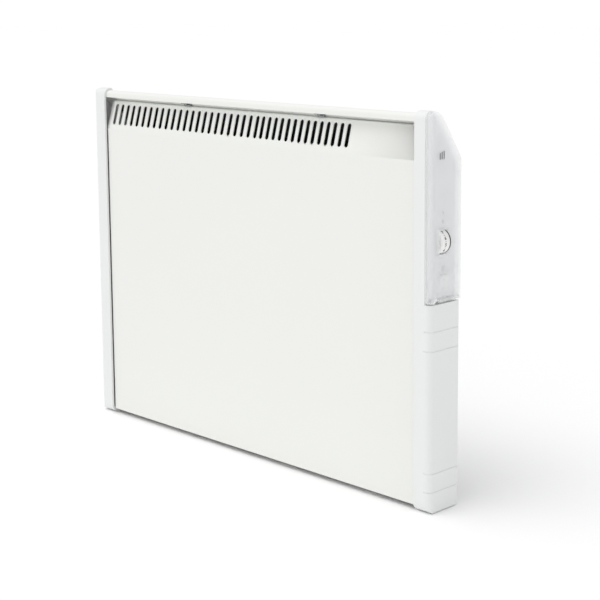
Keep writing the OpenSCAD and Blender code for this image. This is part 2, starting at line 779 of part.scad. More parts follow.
module earth_nut() {
  color([0.75, 0.70, 0.48]) place() difference() {
    rod([bay_x + 66, back_y - sheet_t - 7, 34], 4, 3.2, "y", 6);
    rod([bay_x + 66, back_y - sheet_t - 8, 34], 2 + slack, 6, "y");
  }
}

module room_sensor() {
  color([0.10, 0.10, 0.11]) place() rod([inner_x + 9, 17, 10], 2.2, 12);
}

module sensor_clip() {
  color([0.85, 0.86, 0.86]) place() difference() {
    box([inner_x + 5, cap_wall, 13], [inner_x + 13, 20.5, 17]);
    rod([inner_x + 9, 17, 12], 2.2 + slack, 6);
  }
}

// Insulated lead with square bends, through the points listed
module lead(pts, r) {
  for (i = [0:len(pts) - 2]) {
    d = pts[i + 1] - pts[i];
    lo = [for (k = [0:2]) min(pts[i][k], pts[i + 1][k]) - (d[k] == 0 || i > 0 || d[k] < 0 ? r : 0)];
    hi = [for (k = [0:2])
      max(pts[i][k], pts[i + 1][k]) + (d[k] == 0 || i < len(pts) - 2 || d[k] < 0 ? r : 0)];
    box(lo, hi);
  }
}

module lead_live() {
  y = back_y - sheet_t - 9;
  color([0.45, 0.25, 0.12]) place()
    lead([[bay_x + 49, y, 86], [bay_x + 49, y, 215], [inner_x + 1, y, 215]], 1.1);
}

module lead_neutral() {
  y = back_y - sheet_t - 9;
  color([0.15, 0.35, 0.65]) place()
    lead([[bay_x + 29, y, 86], [bay_x + 29, y, 100], [bay_x + 14, y, 100], [bay_x + 14, mid_y, 100],
          [bay_x - 8, mid_y, 100]], 1.1);
}

module lead_earth() {
  y = back_y - sheet_t - 9;
  color([0.35, 0.55, 0.15]) place()
    lead([[bay_x + 39, y, 68], [bay_x + 39, y, 56], [bay_x + 66, y, 56], [bay_x + 66, y, 40]], 1.1);
}

module lead_sensor() {
  color([0.85, 0.85, 0.85]) place()
    lead([[inner_x + 9, 17, 22], [inner_x + 9, 17, 110], [inner_x + 1.1, 17, 110],
          [inner_x + 1.1, 17, wheel_z + 19.7], [board_x, 17, wheel_z + 19.7]], 0.8);
}

module rating_plate() {
  color([0.88, 0.88, 0.86]) place()
    box([-60, back_y, 90], [0, back_y + 0.3, 130]);
}

// ---- wall bracket ----

module wall_bracket() {
  color([0.82, 0.83, 0.84]) place() difference() {
    union() {
      for (z = [hole_low_z, hole_high_z])
        box([-arm_x - 12, wall_y - bracket_t, z - 12], [arm_x + 12, wall_y, z + 12]);
      for (x = [-arm_x, arm_x]) {
        box([x - 12, wall_y - bracket_t, hole_low_z - 12], [x + 12, wall_y, catch_z + 12]);
        box([x - bracket_t / 2, back_y + 1, hole_low_z - 8], [x + bracket_t / 2, wall_y, catch_z + 12]);
        box([x - bracket_t / 2, back_y - sheet_t - 3.5, hole_low_z - 8],
            [x + bracket_t / 2, back_y + 2, hole_low_z - 2]);
        box([x - bracket_t / 2, back_y - sheet_t - 3.5, hole_low_z - 8],
            [x + bracket_t / 2, back_y - sheet_t - 1, hole_low_z + 5]);
      }
    }
    for (x = [-hole_x, hole_x], z = [hole_low_z, hole_high_z])
      rod([x, wall_y - bracket_t - cut, z], hole_r, bracket_t + 2 * cut, "y");
    for (x = [-arm_x, arm_x]) rod([x - 5, catch_y, catch_z], pin_r, 10, "x");
  }
}

module catch_pins() {
  color([0.6, 0.61, 0.62]) place() for (x = [-arm_x, arm_x])
    rod([x - 8, catch_y, catch_z], pin_r, 9.5, "x");
}

// Spring catch beside a bracket arm: nose through the back panel, thumb lever up
module catch(x) {
  difference() {
    union() {
      along_x(x - 7, x - 1.5) polygon([
        [back_y - sheet_t - 3, catch_z - 3], [catch_y, catch_z - 4], [catch_y + 3.5, catch_z - 3.5],
        [catch_y + 4, catch_z], [catch_y + 2, catch_z + 20], [catch_y - 1, catch_z + 20],
        [catch_y - 3, catch_z + 1], [back_y + 0.8, catch_z], [back_y - sheet_t - 0.6, catch_z],
        [back_y - sheet_t - 0.6, catch_z + 5]]);
    }
    rod([x - 8, catch_y, catch_z], pin_r + slack, 10, "x");
  }
}

module left_catch() {
  color([0.93, 0.93, 0.93]) place() catch(-arm_x);
}

module right_catch() {
  color([0.93, 0.93, 0.93]) place() catch(arm_x);
}

front_panel();
back_panel();
base_grille();
top_rail();
left_end_cap();
right_end_cap();
partition();
heat_shield();
panel_clips();
clip_screws();
cap_screws();
base_screws();
element_sheath();
element_fins();
element_bushes();
element_brackets();
element_terminals();
thermal_cutout();
grommet();
control_housing();
housing_screw();
control_cover();
cover_hinge_pins();
cover_badge();
thermostat_wheel();
potentiometer();
circuit_board();
relay();
capacitor();
led_power();
led_heat();
switch_body();
rocker_button();
terminal_block();
cable_gland();
gland_nut();
earth_stud();
earth_nut();
room_sensor();
sensor_clip();
lead_live();
lead_neutral();
lead_earth();
lead_sensor();
rating_plate();
wall_bracket();
catch_pins();
left_catch();
right_catch();
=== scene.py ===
import json
import math

import bmesh
import bpy
from mathutils import Matrix, Vector


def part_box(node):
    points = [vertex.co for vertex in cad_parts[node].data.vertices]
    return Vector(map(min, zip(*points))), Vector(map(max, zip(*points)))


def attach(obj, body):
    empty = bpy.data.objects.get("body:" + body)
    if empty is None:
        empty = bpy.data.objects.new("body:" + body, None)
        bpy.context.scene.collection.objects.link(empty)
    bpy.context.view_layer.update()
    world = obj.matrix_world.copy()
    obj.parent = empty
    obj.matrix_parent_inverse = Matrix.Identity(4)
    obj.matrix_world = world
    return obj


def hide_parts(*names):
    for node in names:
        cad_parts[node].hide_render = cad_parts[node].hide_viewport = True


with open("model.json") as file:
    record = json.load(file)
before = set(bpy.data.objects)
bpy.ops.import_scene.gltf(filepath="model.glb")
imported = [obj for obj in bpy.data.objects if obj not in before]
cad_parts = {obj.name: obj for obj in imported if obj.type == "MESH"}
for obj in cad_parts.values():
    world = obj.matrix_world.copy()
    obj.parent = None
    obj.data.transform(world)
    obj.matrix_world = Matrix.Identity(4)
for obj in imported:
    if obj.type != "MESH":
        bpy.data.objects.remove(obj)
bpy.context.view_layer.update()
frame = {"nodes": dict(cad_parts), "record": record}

nodes = frame["nodes"]
bodies = {node: body for body, held in frame["record"]["behaviour"]["bodies"].items() for node in held}
MM = 0.001

# ---------------------------------------------------------------------------------------------
# The studio: a white floor that runs to a white surround, under one broad soft light overhead,
# tipped a little to the front and the left.
# ---------------------------------------------------------------------------------------------


def linear(hex_colour):
    """A colour given as sRGB hex, as the linear values that Blender works in."""
    parts = [int(hex_colour[i:i + 2], 16) / 255 for i in (1, 3, 5)]
    return [c / 12.92 if c <= 0.04045 else ((c + 0.055) / 1.055) ** 2.4 for c in parts] + [1.0]


def dimmed(hex_colour, share):
    """A share of the light of a colour, for the darker tone of a finish."""
    return [part * share for part in linear(hex_colour)[:3]] + [1.0]


def add_node(material, kind, settings=None, links=None):
    """Adds a node, sets its properties and its inputs, and links its inputs from other sockets."""
    node = material.node_tree.nodes.new(kind)
    for name, value in (settings or {}).items():
        if isinstance(name, str) and hasattr(node, name):
            setattr(node, name, value)
        else:
            node.inputs[name].default_value = value
    for name, socket in (links or {}).items():
        material.node_tree.links.new(socket, node.inputs[name])
    return node


def new_material(name, **shader):
    """A material with its shader, which is returned with it. Names in shader are the shader's inputs."""
    material = bpy.data.materials.new(name)
    material.use_nodes = True
    bsdf = material.node_tree.nodes["Principled BSDF"]
    for key, value in shader.items():
        bsdf.inputs[key.replace("_", " ")].default_value = value
    return material, bsdf


def studio_floor():
    """A wide level floor under the object, far larger than the view."""
    bm = bmesh.new()
    bmesh.ops.create_grid(bm, x_segments=1, y_segments=1, size=20.0)
    mesh = bpy.data.meshes.new("studio_floor")
    bm.to_mesh(mesh)
    bm.free()
    floor = bpy.data.objects.new("studio_floor", mesh)
    bpy.context.collection.objects.link(floor)
    material, _ = new_material("studio_paper", Base_Color=linear("#FDFDFD"), Roughness=0.95)
    mesh.materials.append(material)


def soft_sun(tilt_front, tilt_side, spread, strength):
    """Broad even light from overhead, tipped some degrees to the front and to the left."""
    data = bpy.data.lights.new("overhead_softbox", "SUN")
    data.energy = strength
    data.angle = math.radians(spread)
    light = bpy.data.objects.new("overhead_softbox", data)
    light.rotation_euler = (math.radians(tilt_front), math.radians(-tilt_side), 0.0)
    bpy.context.collection.objects.link(light)


def studio_surround(light_strength, seen_strength):
    """A white surround, seen as pure white and lighting the object a little less strongly."""
    world = bpy.data.worlds.new("studio_surround")
    world.use_nodes = True
    tree = world.node_tree
    lit = tree.nodes["Background"]
    lit.inputs["Color"].default_value = (1.0, 1.0, 1.0, 1.0)
    lit.inputs["Strength"].default_value = light_strength
    seen = tree.nodes.new("ShaderNodeBackground")
    seen.inputs["Strength"].default_value = seen_strength
    seen.inputs["Color"].default_value = (1.0, 1.0, 1.0, 1.0)
    path = tree.nodes.new("ShaderNodeLightPath")
    choice = tree.nodes.new("ShaderNodeMixShader")
    tree.links.new(path.outputs["Is Camera Ray"], choice.inputs[0])
    tree.links.new(lit.outputs[0], choice.inputs[1])
    tree.links.new(seen.outputs[0], choice.inputs[2])
    tree.links.new(choice.outputs[0], tree.nodes["World Output"].inputs["Surface"])
    bpy.context.scene.world = world


def studio():
    bpy.context.scene.view_settings.view_transform = "Standard"
    studio_surround(0.70, 1.02)
    studio_floor()
    soft_sun(18.0, 14.0, 50.0, 1.15)


def studio_camera():
    """The camera looks level with the grille from the control side, with the object off its axis."""
    camera = bpy.data.cameras.new("studio_camera")
    camera.lens = 85.3
    camera.shift_x = -0.1333
    camera.shift_y = -0.1667
    camera.clip_end = 100.0
    azimuth, elevation = math.radians(43.17), math.radians(8.09)
    back = Vector((math.sin(azimuth) * math.cos(elevation), -math.cos(azimuth) * math.cos(elevation),
                   math.sin(elevation)))
    holder = bpy.data.objects.new("studio_camera", camera)
    holder.location = (1.0690, -0.9698, 0.4688)
    holder.rotation_euler = back.to_track_quat("Z", "Y").to_euler()
    bpy.context.collection.objects.link(holder)
    bpy.context.scene.camera = holder


studio()
studio_camera()

# ---------------------------------------------------------------------------------------------
# Front panel: mild steel sheet, 1 mm, pierced with a row of air slots, folded once under the
# slots and once at the top, and powder coated warm white.
# ---------------------------------------------------------------------------------------------
PANEL_T = 1.0 * MM
SLOT_W = 5.0 * MM
SLOT_L = 23.0 * MM
SLOT_GROUPS = ((24, 10.08 * MM), (14, 9.16 * MM))
SLOT_STEP = 8.6 * MM
SLOT_MARGIN = 10.7 * MM
RETURN_D = 9.0 * MM
FLANGE_D = 3.0 * MM
SMOOTH_ANGLE = 32.0
NEAR = 0.01 * MM
BAND_H = 30.0 * MM
BAND_LEAN = 8.0 * MM
PANEL_GAP = 0.8 * MM


def powder_coat(name, hex_colour, roughness=0.42):
    """Powder coat on steel: baked paint with a fine orange peel, which breaks up its sheen."""
    material, bsdf = new_material(name, Roughness=roughness)
    place = add_node(material, "ShaderNodeTexCoord")
    drift = add_node(material, "ShaderNodeTexNoise", {"Scale": 6.0, "Detail": 3.0},
                     {"Vector": place.outputs["Object"]})
    tint = add_node(material, "ShaderNodeMix",
                    {"data_type": "RGBA", 6: linear(hex_colour), 7: dimmed(hex_colour, 0.985)},
                    {0: drift.outputs["Fac"]})
    peel = add_node(material, "ShaderNodeTexNoise", {"Scale": 1 / (1.6 * MM), "Detail": 2.0},
                    {"Vector": place.outputs["Object"]})
    bump = add_node(material, "ShaderNodeBump", {"Strength": 0.12, "Distance": 0.05 * MM},
                    {"Height": peel.outputs["Fac"]})
    material.node_tree.links.new(tint.outputs[2], bsdf.inputs["Base Color"])
    material.node_tree.links.new(bump.outputs["Normal"], bsdf.inputs["Normal"])
    return material


def finish_piece(bm, name, material, node, slot=None, stands_in=True):
    """Makes the mesh a piece on its CAD node's body, standing in for the node or adding to it."""
    for face in bm.faces:
        face.smooth = True
    for edge in bm.edges:
        edge.smooth = edge.calc_face_angle(0.0) < math.radians(SMOOTH_ANGLE)
    mesh = bpy.data.meshes.new(name)
    bm.to_mesh(mesh)
    bm.free()
    mesh.materials.append(material)
    piece = bpy.data.objects.new(name, mesh)
    bpy.context.collection.objects.link(piece)
    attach(piece, bodies[node])
    if slot is None:
        slot = next(s["material_slot"] for s in frame["record"]["subparts"] if s["node"] == node)
    if stands_in:
        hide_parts(node)
    return piece


def wall(piece, thickness):
    """Gives the drawn skin of a sheet its thickness, grown inwards from its outer face."""
    solid = piece.modifiers.new("wall", "SOLIDIFY")
    solid.thickness = thickness
    solid.offset = -1.0
    solid.use_even_offset = False
    solid.use_rim = True


def eased_edges(piece, width, segments=2, angle=40.0):
    """Takes the sharpness off a piece's edges."""
    bevel = piece.modifiers.new("eased_edges", "BEVEL")
    bevel.width = width
    bevel.segments = segments
    bevel.limit_method = "ANGLE"
    bevel.angle_limit = math.radians(angle)
    bevel.harden_normals = False


def bevel_edges(bm, edges, radius, segments=6):
    bmesh.ops.bevel(bm, geom=list(edges), offset=radius, offset_type="OFFSET", segments=segments,
                    profile=0.5, affect="EDGES", material=-1, clamp_overlap=True)


def edges_where(bm, test):
    """The edges whose two ends both pass a test."""
    return [e for e in bm.edges if all(test(v.co) for v in e.verts)]


def draw_out(bm, edges, move):
    """Folds a flange out from a row of edges."""
    grown = bmesh.ops.extrude_edge_only(bm, edges=edges)["geom"]
    bmesh.ops.translate(bm, verts=[v for v in grown if isinstance(v, bmesh.types.BMVert)], vec=move)


def slot_middles(first):
    """The middles of the slots, which the press punches in two groups."""
    middles = []
    for count, pitch in SLOT_GROUPS:
        start = middles[-1] + SLOT_STEP if middles else first
        middles += [start + i * pitch for i in range(count)]
    return middles


def slotted_cell(bm, left, middle_x, right):
    """One slot and the sheet around it, drawn flat between two widths."""
    length = math.hypot(BAND_H, BAND_LEAN)
    middle = Vector((middle_x, length / 2 + 0.4 * MM, 0.0))
    turn = Matrix.Rotation(math.radians(180 / 16), 4, "Z")
    pill = bmesh.ops.create_circle(bm, segments=16, radius=SLOT_W / 2 / math.cos(math.radians(180 / 16)),
                                   matrix=Matrix.Translation(middle) @ turn)["verts"]
    for vert in pill:
        vert.co.y += math.copysign((SLOT_L - SLOT_W) / 2, vert.co.y - middle.y)
    corners = [bm.verts.new((x, y, 0.0)) for x, y in ((left, 0), (right, 0), (right, length), (left, length))]
    rim = [bm.edges.new((corners[i], corners[i - 1])) for i in range(4)]
    loop = [e for e in bm.edges if e.verts[0] in pill and e.verts[1] in pill]
    bmesh.ops.bridge_loops(bm, edges=rim + loop)


def front_panel():
    low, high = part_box("front_panel")
    front = low.y
    bend_z = high.z - BAND_H
    band_angle = math.atan2(BAND_LEAN, BAND_H)
    length = math.hypot(BAND_H, BAND_LEAN)
    middles = slot_middles(low.x - PANEL_GAP + SLOT_MARGIN)
    joins = [(a + b) / 2 for a, b in zip(middles, middles[1:])]
    joins = [middles[0] - SLOT_GROUPS[0][1] / 2] + joins + [middles[-1] + SLOT_GROUPS[1][1] / 2]
    bm = bmesh.new()
    for left, middle_x, right in zip(joins, middles, joins[1:]):
        slotted_cell(bm, left, middle_x, right)
    for x0, x1 in ((low.x, joins[0]), (joins[-1], high.x)):
        side = [bm.verts.new((x, y, 0.0)) for x, y in ((x0, 0), (x1, 0), (x1, length), (x0, length))]
        bm.faces.new(side)
    bmesh.ops.remove_doubles(bm, verts=bm.verts, dist=NEAR)
    bmesh.ops.rotate(bm, verts=bm.verts, cent=(0, 0, 0),
                     matrix=Matrix.Rotation(math.radians(90) - band_angle, 3, "X"))
    bmesh.ops.translate(bm, verts=bm.verts, vec=(0.0, front, bend_z))
    for height, move in ((bend_z, (0, 0, low.z - bend_z)), (bend_z + BAND_H, (0, FLANGE_D, 0))):
        draw_out(bm, edges_where(bm, lambda co: abs(co.z - height) < NEAR), move)
    bmesh.ops.recalc_face_normals(bm, faces=bm.faces)
    if sum(f.normal.y * f.calc_area() for f in bm.faces) > 0:
        bmesh.ops.reverse_faces(bm, faces=bm.faces)
    bevel_edges(bm, edges_where(bm, lambda co: abs(co.z - bend_z) < NEAR), 3.0 * MM, 5)
    bevel_edges(bm, edges_where(bm, lambda co: abs(co.z - bend_z - BAND_H) < NEAR
                                and abs(co.y - front - BAND_LEAN) < NEAR), 1.2 * MM, 3)
    sides = [e for e in bm.edges if e.is_boundary and all(v.co.z < bend_z - 0.3 * MM for v in e.verts)]
    draw_out(bm, sides, (0, RETURN_D, 0))
    corners = edges_where(bm, lambda co: abs(co.y - front) < NEAR and co.z < bend_z - 0.3 * MM
                          and min(co.x - low.x, high.x - co.x) < NEAR)
    bevel_edges(bm, corners, 1.0 * MM, 3)
    coat = powder_coat("warm_white_powder_coat", "#F2F3EF")
    piece = finish_piece(bm, "front_panel_sheet", coat, "front_panel")
    wall(piece, PANEL_T)
    return coat


panel_coat = front_panel()

# ---------------------------------------------------------------------------------------------
# Top rail: a rolled steel strip between the end caps, powder coated with the panel. Its front
# lip hides the panel's top edge and its back leg follows the sloped rear.
# ---------------------------------------------------------------------------------------------


RAIL_H = 7.5 * MM
RAIL_TOP = 6.3 * MM
RAIL_T = 1.4 * MM
RAIL_FRONT_R = 4.8 * MM
RAIL_CREST_R = 1.0 * MM
REAR_SLOPE = math.radians(34.1)


def top_rail():
    low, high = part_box("top_rail")
    bm = bmesh.new()
    leg_drop = high.z - low.z
    leg_end = low.y + RAIL_TOP + leg_drop * math.tan(REAR_SLOPE)
    lip_z = high.z - RAIL_H
    outline = [(low.y, lip_z), (low.y, high.z), (low.y + RAIL_TOP, high.z), (leg_end, low.z),
               (leg_end - RAIL_T, low.z), (leg_end - RAIL_T - (lip_z - low.z) * math.tan(REAR_SLOPE), lip_z)]
    shade_ring = [bm.verts.new((low.x, y, z)) for y, z in outline]
    face = bm.faces.new(shade_ring)
    grown = bmesh.ops.extrude_face_region(bm, geom=[face])["geom"]
    bmesh.ops.translate(bm, verts=[v for v in grown if isinstance(v, bmesh.types.BMVert)],
                        vec=(high.x - low.x, 0, 0))
    bmesh.ops.recalc_face_normals(bm, faces=bm.faces)
    bevel_edges(bm, edges_where(bm, lambda co: abs(co.y - low.y) < NEAR and abs(co.z - high.z) < NEAR),
                RAIL_FRONT_R, 8)
    bevel_edges(bm, edges_where(bm, lambda co: abs(co.y - low.y - RAIL_TOP) < NEAR
                                and abs(co.z - high.z) < NEAR), RAIL_CREST_R, 3)
    piece = finish_piece(bm, "top_rail_strip", panel_coat, "top_rail")
    eased_edges(piece, 0.25 * MM)


top_rail()

# ---------------------------------------------------------------------------------------------
# End caps: injection-moulded ABS in a cool white with a fine spark-eroded grain. Each is a hollow
# shell, open towards the body, with shallow grooves round its lower half and hinge lugs on the right.
# ---------------------------------------------------------------------------------------------


def moulded_abs(name, hex_colour, roughness=0.48):
    """Moulded ABS: matt and even, with a fine grain and a faint flow of tone."""
    material, bsdf = new_material(name, Roughness=roughness, IOR=1.53)
    place = add_node(material, "ShaderNodeTexCoord")
    flow = add_node(material, "ShaderNodeTexNoise", {"Scale": 9.0, "Detail": 2.0},
                    {"Vector": place.outputs["Object"]})
    tint = add_node(material, "ShaderNodeMix",
                    {"data_type": "RGBA", 6: linear(hex_colour), 7: dimmed(hex_colour, 0.98)},
                    {0: flow.outputs["Fac"]})
    grain = add_node(material, "ShaderNodeTexNoise", {"Scale": 1 / (0.5 * MM), "Detail": 1.0},
                     {"Vector": place.outputs["Object"]})
    bump = add_node(material, "ShaderNodeBump", {"Strength": 0.15, "Distance": 0.03 * MM},
                    {"Height": grain.outputs["Fac"]})
    material.node_tree.links.new(tint.outputs[2], bsdf.inputs["Base Color"])
    material.node_tree.links.new(bump.outputs["Normal"], bsdf.inputs["Normal"])
    return material


def moulding(node, name, material):
    """The node's own shape as one merged mesh, with its curved faces shaded smoothly."""
    bm = bmesh.new()
    bm.from_mesh(nodes[node].data)
    bmesh.ops.remove_doubles(bm, verts=bm.verts, dist=0.005 * MM)
    bmesh.ops.dissolve_limit(bm, angle_limit=math.radians(0.3), verts=bm.verts, edges=bm.edges)
    return finish_piece(bm, name, material, node)


cap_abs = moulded_abs("cool_white_abs", "#EFF1F0")
moulding("left_end_cap", "left_end_cap_shell", cap_abs)
moulding("right_end_cap", "right_end_cap_shell", cap_abs)

# ---------------------------------------------------------------------------------------------
# Control housing: light grey ABS moulding in the right end cap, with a raised plate for the
# thermostat, the two indicators and the switch. The switch is a bought part in the same grey.
# ---------------------------------------------------------------------------------------------
housing_abs = moulded_abs("light_grey_abs", "#E4E6E7", 0.5)


def dress(material, *names):
    """Gives CAD nodes their finish."""
    for node in names:
        mesh = nodes[node].data
        mesh.materials.clear()
        mesh.materials.append(material)


dress(housing_abs, "control_housing", "switch_body", "sensor_clip")

# ---------------------------------------------------------------------------------------------
# Control cover: frosted polycarbonate shell, 2 mm, that hinges down at its bottom edge. It is a
# milky veil with a painted glow, a faint emission that stands in for light scattered through it, and a
# window lets the thermostat wheel stand out. Four small ribs inside its front and back walls snap over the
# end cap.
# ---------------------------------------------------------------------------------------------
COVER_T = 2.0 * MM
COVER_D = 41.0 * MM
RIB_ZS = (313.8 * MM, 226.8 * MM)
RIB_SIZE = (3.4 * MM, 0.8 * MM, 1.2 * MM)


def frosted_polycarbonate_painted_glow():
    """Polycarbonate with a fine frost: a thin milky veil with a painted glow, a faint white emission that
    stands in for light scattered through the plastic.
    """
    # Painted glow: the emission makes the veil shine although no lamp is inside.
    material, bsdf = new_material("frosted_polycarbonate_painted_glow", Roughness=0.34, IOR=1.58, Alpha=0.38,
                                  Emission_Color=linear("#F4F6F7"), Emission_Strength=0.06)
    place = add_node(material, "ShaderNodeTexCoord")
    cloud = add_node(material, "ShaderNodeTexNoise", {"Scale": 30.0, "Detail": 2.0},
                     {"Vector": place.outputs["Object"]})
    tint = add_node(material, "ShaderNodeMix",
                    {"data_type": "RGBA", 6: linear("#FCFCFD"), 7: linear("#F7F8F9")},
                    {0: cloud.outputs["Fac"]})
    grind = add_node(material, "ShaderNodeTexNoise", {"Scale": 1 / (0.6 * MM), "Detail": 1.0},
                     {"Vector": place.outputs["Object"]})
    bump = add_node(material, "ShaderNodeBump", {"Strength": 0.1, "Distance": 0.03 * MM},
                    {"Height": grind.outputs["Fac"]})
    material.node_tree.links.new(tint.outputs[2], bsdf.inputs["Base Color"])
    material.node_tree.links.new(bump.outputs["Normal"], bsdf.inputs["Normal"])
    return material


def cover_ribs():
    """Two snap ribs on the front wall and two on the back wall, inside the cover."""
    low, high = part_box("control_cover")
    bm = bmesh.new()
    reach = COVER_T + 0.2 * MM
    for y, z in [(y, z) for y in (low.y + reach, low.y + COVER_D - reach) for z in RIB_ZS]:
        made = bmesh.ops.create_cube(bm, size=1.0, matrix=Matrix.Translation((high.x - 3.9 * MM, y, z))
                                     @ Matrix.Diagonal((*RIB_SIZE, 1.0)))
        bevel_edges(bm, {e for v in made["verts"] for e in v.link_edges}, 0.2 * MM, 2)
    finish_piece(bm, "cover_snap_ribs", housing_abs, "control_cover", slot="frosted_plastic", stands_in=False)


moulding("control_cover", "control_cover_shell", frosted_polycarbonate_painted_glow())
cover_ribs()

# ---------------------------------------------------------------------------------------------
# Badge on the cover: three short raised bars with a hot-stamped grey face. The film is thin and
# a little uneven.
# ---------------------------------------------------------------------------------------------


def speckled(name, hex_colour, second_hex, roughness, grain_mm, metallic=0.0, bump_strength=0.1):
    """A finish whose tone and surface vary on one grain: stamped, cast, moulded or plated."""
    material, bsdf = new_material(name, Roughness=roughness, Metallic=metallic)
    place = add_node(material, "ShaderNodeTexCoord")
    grain = add_node(material, "ShaderNodeTexNoise", {"Scale": 1 / (grain_mm * MM), "Detail": 3.0},
                     {"Vector": place.outputs["Object"]})
    tint = add_node(material, "ShaderNodeMix",
                    {"data_type": "RGBA", 6: linear(hex_colour), 7: linear(second_hex)},
                    {0: grain.outputs["Fac"]})
    bump = add_node(material, "ShaderNodeBump", {"Strength": bump_strength, "Distance": 0.04 * MM},
                    {"Height": grain.outputs["Fac"]})
    material.node_tree.links.new(tint.outputs[2], bsdf.inputs["Base Color"])
    material.node_tree.links.new(bump.outputs["Normal"], bsdf.inputs["Normal"])
    return material


dress(speckled("grey_stamping_foil", "#6E7173", "#8A8D8F", 0.35, 0.8), "cover_badge")

# ---------------------------------------------------------------------------------------------
# Thermostat wheel: glossy white ABS thumbwheel. Its rim has a printed scale on the front half,
# a knurled grip behind it, and a black ring at the back that is painted shade, standing in for the
# shadow line behind the rim. The shaft runs in the housing.
# ---------------------------------------------------------------------------------------------
WHEEL_R = 11.5 * MM
WHEEL_W = 10.5 * MM
GRIP_W = 3.2 * MM
SHADE_RING_W = 1.7 * MM
WHEEL_STEPS = 96
gloss_abs = moulded_abs("gloss_white_abs", "#F8F8F7", 0.25)
black_abs = speckled("black_abs", "#0C0D0E", "#151617", 0.5, 0.7)


def cut_along(bm, point, normal):
    """Cuts every face that a plane crosses."""
    bmesh.ops.bisect_plane(bm, geom=bm.verts[:] + bm.edges[:] + bm.faces[:], dist=0.001 * MM,
                           plane_co=point, plane_no=normal)


def across_y(centre):
    """Turns a shape built along Z to lie along Y, about a point."""
    return Matrix.Translation(centre) @ Matrix.Rotation(math.radians(-90), 4, "X")


def thermostat_wheel():
    low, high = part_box("thermostat_wheel")
    centre = Vector(((low.x + high.x) / 2, low.y + 3.0 * MM + WHEEL_W / 2, (low.z + high.z) / 2))
    front, back = centre.y - WHEEL_W / 2, centre.y + WHEEL_W / 2
    bm = bmesh.new()
    bmesh.ops.create_cone(bm, cap_ends=True, segments=WHEEL_STEPS, radius1=WHEEL_R, radius2=WHEEL_R,
                          depth=WHEEL_W, matrix=across_y(centre))
    for y in (back - GRIP_W, back - SHADE_RING_W):
        cut_along(bm, (0, y, 0), (0, 1, 0))
    rim = [f for f in bm.faces if abs(f.normal.y) < 0.5]
    shade_ring = [f for f in rim if f.calc_center_median().y > back - SHADE_RING_W]
    grip = [f for f in rim if back - GRIP_W < f.calc_center_median().y < back - SHADE_RING_W]
    # Painted shade: the back band of the rim takes the black material, standing in for the shadow line behind
    # the wheel.
    for face in shade_ring:
        face.material_index = 1
    spokes = {f: f.calc_center_median() - centre for f in grip}
    turn = {f: math.atan2(spoke.z, spoke.x) for f, spoke in spokes.items()}
    grip.sort(key=turn.get)
    bmesh.ops.inset_individual(bm, faces=grip[::2], thickness=0.06 * MM, depth=-0.25 * MM)
    for y in (front, back):
        edge = [e for e in edges_where(bm, lambda co: abs(co.y - y) < NEAR) if e.calc_face_angle(0) > 0.5]
        bevel_edges(bm, edge, 0.35 * MM, 3)
    dish = max((f for f in bm.faces if f.normal.y < -0.9), key=lambda f: f.calc_area())
    bmesh.ops.inset_region(bm, faces=[dish], thickness=2.2 * MM, depth=0.0)
    bmesh.ops.inset_region(bm, faces=[dish], thickness=0.5 * MM, depth=-0.8 * MM)
    shaft = bmesh.ops.create_cone(bm, cap_ends=True, segments=32, radius1=1.5 * MM, radius2=1.5 * MM,
                                  depth=high.y - low.y, matrix=across_y((low + high) / 2))["verts"]
    bevel_edges(bm, {e for v in shaft for e in v.link_edges if e.calc_face_angle(0) > 1.0}, 0.3 * MM, 2)
    piece = finish_piece(bm, "thermostat_thumbwheel", gloss_abs, "thermostat_wheel")
    piece.data.materials.append(black_abs)
    return centre


def lettering(text, size, depth=0.03 * MM):
    """A generic numeral or sign as a thin mesh, centred on the origin in the XY plane."""
    curve = bpy.data.curves.new("numeral_" + text, "FONT")
    curve.body = text
    curve.size = size
    curve.extrude = depth
    curve.offset = size / 40
    curve.align_x = "CENTER"
    curve.align_y = "CENTER"
    holder = bpy.data.objects.new("numeral", curve)
    bpy.context.collection.objects.link(holder)
    mesh = bpy.data.meshes.new_from_object(holder.evaluated_get(bpy.context.evaluated_depsgraph_get()))
    bpy.data.objects.remove(holder)
    return mesh


FACE_RIGHT = Matrix(((0, 0, 1, 0), (1, 0, 0, 0), (0, 1, 0, 0), (0, 0, 0, 1)))


def wheel_scale(centre):
    """Numerals 1 to 7 and their half marks, printed round the front part of the rim."""
    bm = bmesh.new()
    for step in range(7):
        angle = math.radians(50 - 30 * step)
        spot = Matrix.Translation(centre) @ Matrix.Rotation(-angle, 4, "Y")
        numeral = lettering(str(7 - step), 4.2 * MM)
        numeral.transform(spot @ Matrix.Translation((WHEEL_R + 0.02 * MM, -1.9 * MM, 0)) @ FACE_RIGHT)
        bm.from_mesh(numeral)
        bpy.data.meshes.remove(numeral)
        between = Matrix.Translation(centre) @ Matrix.Rotation(-angle - math.radians(15), 4, "Y")
        bmesh.ops.create_cube(bm, size=1.0, matrix=between @ Matrix.Translation((WHEEL_R, -1.9 * MM, 0))
                              @ Matrix.Diagonal((0.1 * MM, 1.6 * MM, 0.35 * MM, 1.0)))
    finish_piece(bm, "thermostat_scale", black_abs, "thermostat_wheel", stands_in=False)


wheel_scale(thermostat_wheel())

# ---------------------------------------------------------------------------------------------
# Rocker switch: glossy white ABS rocker with its on and off signs pressed in and filled grey.
# ---------------------------------------------------------------------------------------------
dress(gloss_abs, "rocker_button")
sign_ink = speckled("grey_sign_ink", "#7C8082", "#8C9092", 0.5, 0.6)


